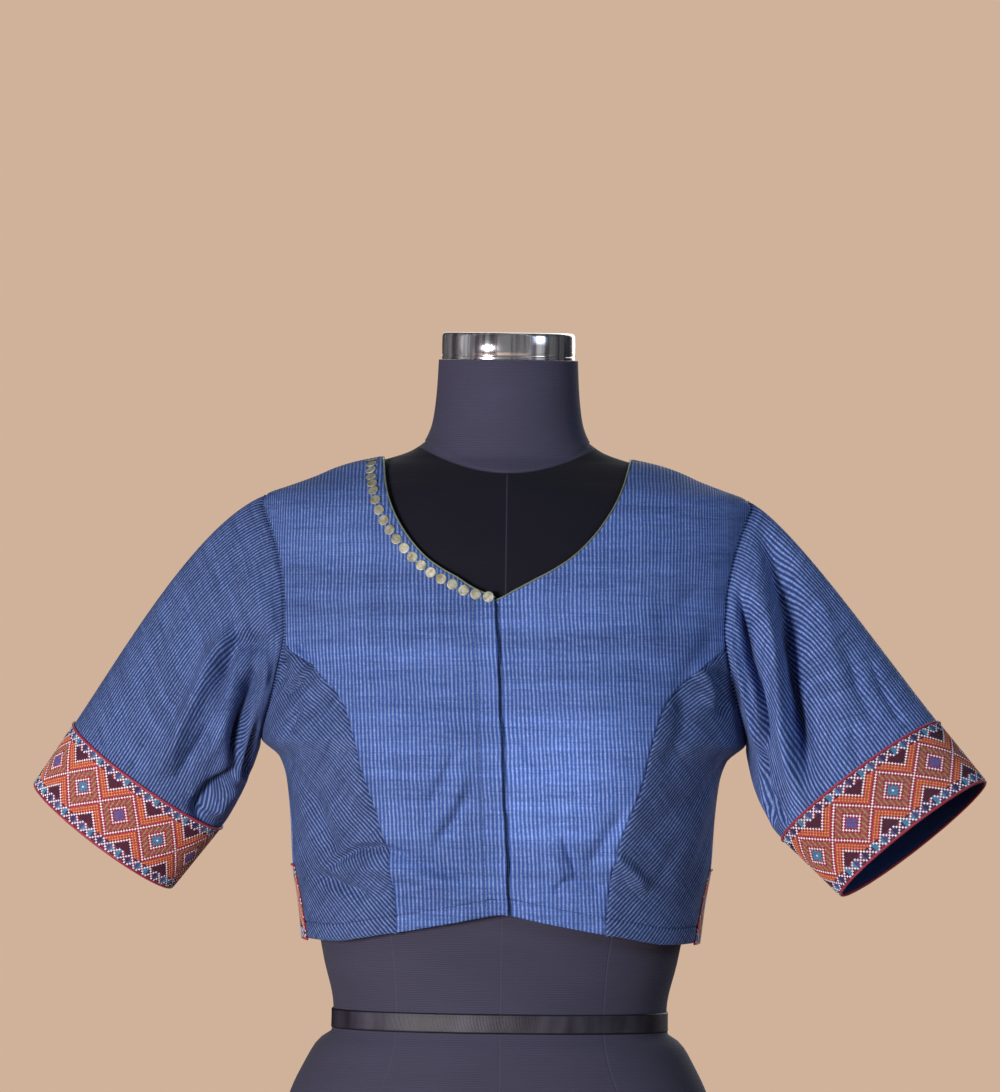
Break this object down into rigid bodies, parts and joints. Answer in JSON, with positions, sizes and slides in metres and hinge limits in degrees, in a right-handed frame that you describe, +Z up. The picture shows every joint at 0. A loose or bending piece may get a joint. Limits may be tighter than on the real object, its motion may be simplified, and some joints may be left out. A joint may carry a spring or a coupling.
{
  "type": "padded sari blouse on a limbless dress form",
  "caption": "Short fitted blouse with a V neck, elbow sleeves with patterned cuff bands and a patterned band at the back hem, worn on a dress form without limbs.",
  "frame": {"origin": "centre of the dress form's flat underside", "axes": "+Z up along the form, -Y towards the blouse's front, +X towards the wearer's left sleeve"},
  "size_m": [0.74, 0.2544, 0.7879],
  "materials": {
    "blue_stripe_cloth": "woven with fine pale stripes, soft sheen",
    "patterned_band": "counted stitch pattern of diamonds in many colours",
    "red_piping": "satin cord cover",
    "olive_gold_piping": "metallic woven cord cover",
    "pale_gold_disc": "coiled metallic thread",
    "form_cover": "fine ribbed jersey, matte",
    "waist_satin": "glossy satin tape",
    "neck_chrome": "polished"
  },
  "bodies": {
    "root": {"front_right": "blue_stripe_cloth", "front_left": "blue_stripe_cloth", "side_front_right": "blue_stripe_cloth", "side_front_left": "blue_stripe_cloth", "back": "blue_stripe_cloth", "sleeve_right": "blue_stripe_cloth", "sleeve_left": "blue_stripe_cloth", "sleeve_band_right": "patterned_band", "sleeve_band_left": "patterned_band", "back_band": "patterned_band", "sleeve_piping_top_right": "red_piping", "sleeve_piping_top_left": "red_piping", "sleeve_piping_cuff_right": "red_piping", "sleeve_piping_cuff_left": "red_piping", "back_band_piping_top": "red_piping", "back_band_piping_hem": "red_piping", "neck_piping_right": "olive_gold_piping", "neck_piping_left": "olive_gold_piping", "neck_piping_back": "olive_gold_piping", "neck_discs": "pale_gold_disc", "form_body": "form_cover", "form_waist_tape": "waist_satin", "form_neck_cap": "neck_chrome"}
  },
  "joints": []
}
